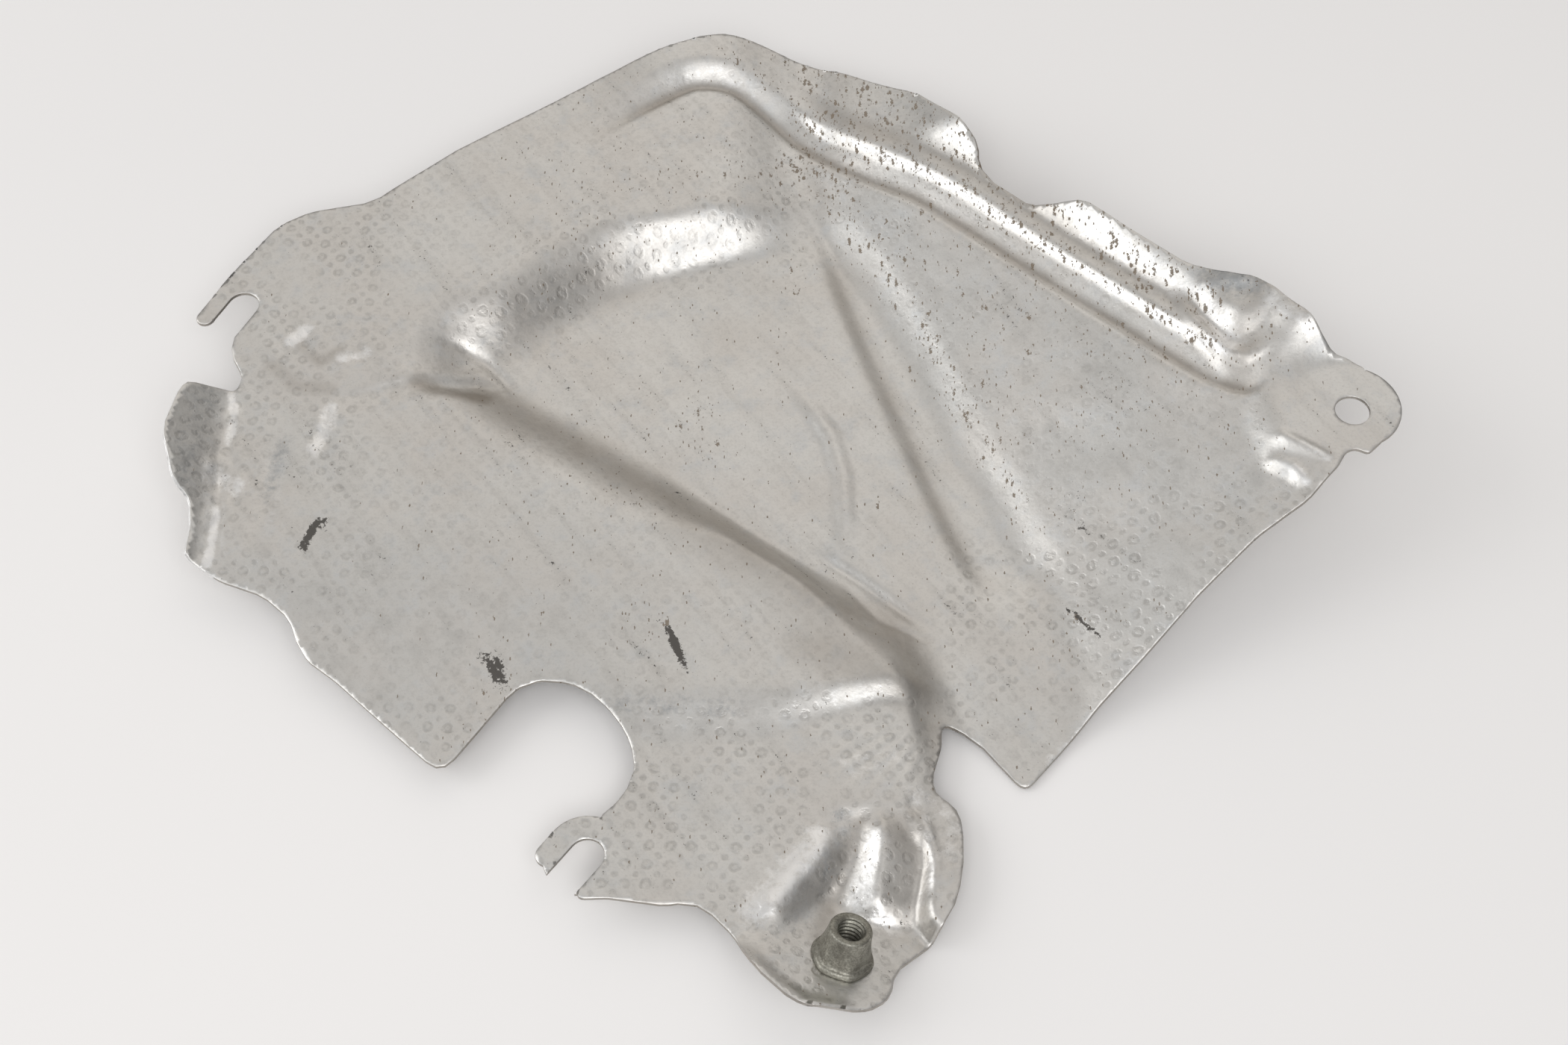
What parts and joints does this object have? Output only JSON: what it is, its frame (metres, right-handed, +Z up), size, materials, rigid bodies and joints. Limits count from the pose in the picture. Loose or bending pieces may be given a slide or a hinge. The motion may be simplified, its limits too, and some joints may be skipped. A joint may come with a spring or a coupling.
{
  "type": "heat shield",
  "caption": "Pressed sheet heat shield for an engine bay, with panels at several heights, a beaded rim, a holed tab, open hook slots and a clinched hex nut.",
  "frame": {"origin": "centre of the round hole in the tab, at the tab's upper face", "axes": "+Z up along the tab hole's axis, away from the surface that the shield lies on; +Y from the nut's edge towards the peaked far edge; +X from the open hook slots towards the tab"},
  "size_m": [0.2725, 0.2613, 0.0352],
  "materials": {
    "embossed_sheet": "dull, embossed, with dirt specks",
    "nut_steel": "dull zinc plating"
  },
  "bodies": {
    "root": {"shield_sheet": "embossed_sheet", "threaded_nut": "nut_steel"}
  },
  "joints": []
}
